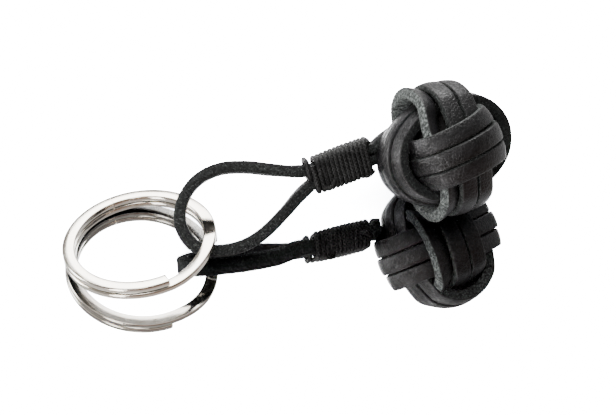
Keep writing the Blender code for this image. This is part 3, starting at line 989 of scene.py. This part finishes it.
def thread_material():
    """Waxed braid: crossing plaits in dark grey, with painted highlights on the crowns of the plaits, weaker
    in patches.
    """
    material, tree, shader = new_material("waxed_braid")
    along = attribute(tree, "thread_along")
    around = attribute(tree, "thread_around")
    lengthwise = maths(tree, "MULTIPLY", along, 2 * math.pi / PLAIT_LENGTH)
    girth = maths(tree, "MULTIPLY", around, 2 * math.pi * PLAIT_STRANDS)
    one = maths(tree, "SINE", maths(tree, "ADD", lengthwise, girth))
    two = maths(tree, "SINE", maths(tree, "SUBTRACT", lengthwise, girth))
    plait = ranged(tree, maths(tree, "MAXIMUM", one, two), -0.4, 1.0)
    fibre = placed(tree, "fibre", Speck_Scale=6200.0, Contrast=1.3)
    worn = placed(tree, "wear", Patch_Scale=420.0, Spread=0.2)
    # Painted highlight: the crowns of the plaits are coloured pale grey, speckled, and weaker in the random
    # patches.
    share = maths(tree, "MULTIPLY", plait, fibre.outputs["Speck"])
    share = maths(tree, "MULTIPLY", share, ranged(tree, worn.outputs["Patch"], 0.0, 1.0, 0.45, 1.0))
    colour = colours(tree, share, (0.002, 0.002, 0.002), (0.115, 0.112, 0.110))
    tree.links.new(colour, shader.inputs["Base Color"])
    tree.links.new(ranged(tree, fibre.outputs["Speck"], 0.0, 1.0, 0.45, 0.8), shader.inputs["Roughness"])
    shader.inputs["Specular IOR Level"].default_value = 0.28
    height = maths(tree, "ADD", plait, maths(tree, "MULTIPLY", fibre.outputs["Height"], 0.6))
    tree.links.new(bump(tree, height, 0.45, 0.00010), shader.inputs["Normal"])
    return material


def nickel_material():
    """Polished nickel plate with fine handling marks."""
    material, tree, shader = new_material("polished_nickel")
    worn = placed(tree, "wear", Patch_Scale=260.0, Spread=0.25)
    uv = tree.nodes.new("ShaderNodeUVMap").outputs["UV"]
    stretch = tree.nodes.new("ShaderNodeMapping")
    stretch.inputs["Scale"].default_value = (300.0, 9000.0, 1.0)
    tree.links.new(uv, stretch.inputs["Vector"])
    marks = noise_value(tree, stretch.outputs["Vector"], 1.0, 3.0, 0.6)
    shader.inputs["Metallic"].default_value = 1.0
    colour = colours(tree, worn.outputs["Patch"], (0.72, 0.66, 0.57), (0.82, 0.775, 0.69))
    tree.links.new(colour, shader.inputs["Base Color"])
    rough = ranged(tree, worn.outputs["Patch"], 0.0, 1.0, 0.07, 0.16)
    rough = maths(tree, "ADD", rough, maths(tree, "MULTIPLY", marks, 0.05))
    tree.links.new(rough, shader.inputs["Roughness"])
    tree.links.new(bump(tree, marks, 0.06, 0.00003), shader.inputs["Normal"])
    return material


def ball_material():
    """Dark stained wood, which shows only through the knot's openings."""
    material, tree, shader = new_material("stained_wood_ball")
    grain = placed(tree, "grain", Crease_Scale=500.0, Tone_Scale=400.0)
    colour = colours(tree, grain.outputs["Tone"], (0.004, 0.0035, 0.003), (0.012, 0.009, 0.007))
    tree.links.new(colour, shader.inputs["Base Color"])
    tree.links.new(bump(tree, grain.outputs["Height"], 0.3, 0.0001), shader.inputs["Normal"])
    shader.inputs["Roughness"].default_value = 0.8
    return material


# ---------------- put it together

def paint(piece, material):
    piece.data.materials.clear()
    piece.data.materials.append(material)
    return piece


fist_lace = lace_material("fist_lace_leather", (0.0015, 0.0015, 0.0018), (0.012, 0.011, 0.012), 1500.0, 0.30)
loop_lace = lace_material("loop_lace_leather", (0.0015, 0.0015, 0.0018), (0.011, 0.011, 0.012), 1700.0, 0.38)
loose_fibre = fibre_material()
waxed_braid = thread_material()
nickel = nickel_material()
ball_wood = ball_material()

threads = thread_tree()
fibres = fibre_tree()

for index, (turn, node) in enumerate(build_fist()):
    paint(turn, fist_lace)
    long_ones = node.endswith("c3")
    values = {
        "Density": 5.0e6 if long_ones else 2.2e6,
        "Fibre Length": 0.00060 if long_ones else 0.00032,
        "Fibre Radius": 0.00004,
        "Seed": 20 + index,
        "Material": loose_fibre,
    }
    nap = run_tree(fibres, turn, turn.name + "_fibres", values)
    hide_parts(node)
    for piece in (turn, nap):
        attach(piece, "fist")

paint(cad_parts["core_ball"], ball_wood)

key_loop = paint(build_key_loop(), loop_lace)
values = {
    "Density": 4.5e6, "Fibre Length": 0.00075, "Fibre Radius": 0.00004, "Seed": 50,
    "Material": loose_fibre}
loop_nap = run_tree(fibres, key_loop, "key_loop_fibres", values)
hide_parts("key_loop")
for piece in (key_loop, loop_nap):
    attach(piece, "strap")

whip_start = handle_point(WHIPPING_LENGTH, 0.0)[0]
for strand, part, node, neck_middle in build_neck():
    paint(strand, loop_lace)
    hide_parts(node)
    if part == "root":
        tuple(whip_start)
        tuple(neck_middle)
        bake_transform(strand)
    else:
        tuple(neck_middle)
        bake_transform(strand)

wound, lead, tucks = build_whipping(threads, waxed_braid)
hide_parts("whipping")
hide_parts("whipping_lead_turn")
for piece in (wound, lead, *tucks):
    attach(piece, "strap")

coil, spring_end = build_ring()
paint(coil, nickel)
paint(spring_end, nickel)
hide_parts("split_ring")
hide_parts("split_ring_tongue")
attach(coil, "ring")
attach(spring_end, "ring_tongue")


# ---------------- floor, light, camera

FLOOR_HALF = 3.0
SHADE_REACH = 0.03
WHITE_STRENGTH = 21.0
ROOM_STRENGTH = 0.42
MIRRORED_STRENGTH = 1.15
ONE_BOUNCE = 2.5            # a ray off the floor has depth 2 when it meets the world


def build_floor():
    """A flat mirror-bright sheet, with painted shade: darker where pieces stand close."""
    mesh = bpy.data.meshes.new("studio_floor")
    corners = [(x * FLOOR_HALF, y * FLOOR_HALF, 0.0) for x, y in ((-1, -1), (1, -1), (1, 1), (-1, 1))]
    mesh.from_pydata(corners, [], [(0, 1, 2, 3)])
    floor = new_object("studio_floor", mesh)
    material, tree, shader = new_material("glossy_white_acrylic")
    # Painted shade: ambient occlusion turns the floor colour grey near the pieces, as a contact shadow.
    near = tree.nodes.new("ShaderNodeAmbientOcclusion")
    near.samples = 6
    near.inputs["Distance"].default_value = SHADE_REACH
    shade = ranged(tree, near.outputs["AO"], 0.30, 0.90)
    tree.links.new(colours(tree, shade, (0.16, 0.17, 0.19), (0.98, 0.98, 0.98)), shader.inputs["Base Color"])
    shader.inputs["Metallic"].default_value = 1.0
    shader.inputs["Roughness"].default_value = 0.0
    mesh.materials.append(material)
    floor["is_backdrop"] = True


def soft_light(name, place, target, size, power):
    """A rectangular softbox; power is its brightness to look at."""
    data = bpy.data.lights.new(name, "AREA")
    data.shape = "RECTANGLE"
    data.size, data.size_y = size
    data.energy = power * size[0] * size[1] * math.pi
    lamp = new_object(name, data)
    lamp.location = place
    lamp.rotation_euler = (Vector(target) - Vector(place)).to_track_quat("-Z", "Y").to_euler()


def build_world():
    """Plain white for the ground and one bounce off the floor; a dimmer room lights the object."""
    world = bpy.data.worlds.new("studio_tent")
    bpy.context.scene.world = world
    world.use_nodes = True
    tree = world.node_tree
    back = tree.nodes["Background"]
    place = tree.nodes.new("ShaderNodeTexCoord").outputs["Generated"]
    split = tree.nodes.new("ShaderNodeSeparateXYZ")
    tree.links.new(place, split.inputs["Vector"])
    height = split.outputs["Z"]
    behind = ranged(tree, split.outputs["Y"], -0.75, 0.25)
    path = tree.nodes.new("ShaderNodeLightPath")
    near_side = colours(tree, path.outputs["Is Glossy Ray"], (0.10, 0.10, 0.10), (0.24, 0.105, 0.055))
    room = colours(tree, behind, near_side, (1.0, 1.0, 1.0))
    overhead = ranged(tree, height, 0.30, 0.75)
    room = colours(tree, overhead, room, (1.0, 1.0, 1.0))
    first = maths(tree, "LESS_THAN", path.outputs["Ray Depth"], ONE_BOUNCE)
    mirrored = maths(tree, "MULTIPLY", path.outputs["Is Singular Ray"], first)
    tent = maths(tree, "MAXIMUM", mirrored, path.outputs["Is Camera Ray"])
    tree.links.new(colours(tree, tent, room, (1.0, 1.0, 1.0)), back.inputs["Color"])
    dim = ranged(tree, path.outputs["Is Singular Ray"], 0.0, 1.0, ROOM_STRENGTH, MIRRORED_STRENGTH)
    tree.links.new(numbers_mix(tree, tent, dim, WHITE_STRENGTH), back.inputs["Strength"])


CAMERA_TARGET = Vector((4.97, 3.70, 0.0)) * MM
CAMERA_DISTANCE = 0.3892
CAMERA_ELEVATION = math.radians(44.9)
CAMERA_AZIMUTH = math.radians(-16.0)
CAMERA_LENS = 113.67
SENSOR_WIDTH = 36.0


def build_camera():
    data = bpy.data.cameras.new("studio_camera")
    camera = new_object("studio_camera", data)
    offset = Vector((
        math.cos(CAMERA_ELEVATION) * math.sin(CAMERA_AZIMUTH),
        -math.cos(CAMERA_ELEVATION) * math.cos(CAMERA_AZIMUTH),
        math.sin(CAMERA_ELEVATION))) * CAMERA_DISTANCE
    camera.location = CAMERA_TARGET + offset
    camera.rotation_euler = (-offset).to_track_quat("-Z", "Y").to_euler()
    data.sensor_width = SENSOR_WIDTH
    data.lens = CAMERA_LENS
    data.clip_start = 0.01
    bpy.context.scene.camera = camera


build_floor()
build_world()
soft_light("softbox_behind", (0.13, 0.42, 0.42), (0.0, 0.0, 0.01), (0.48, 0.32), 11.0)
soft_light("softbox_left", (-0.50, 0.17, 0.12), (0.02, 0.0, 0.01), (0.20, 0.26), 16.0)
soft_light("softbox_front_left", (-0.38, -0.34, 0.20), (0.03, 0.0, 0.01), (0.16, 0.16), 16.0)
soft_light("softbox_above", (-0.12, -0.10, 0.50), (0.0, 0.0, 0.01), (0.12, 0.12), 14.0)
build_camera()

shown_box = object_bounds()
sizes = [[list(corner) for corner in box] for box in (cad_box, shown_box)]
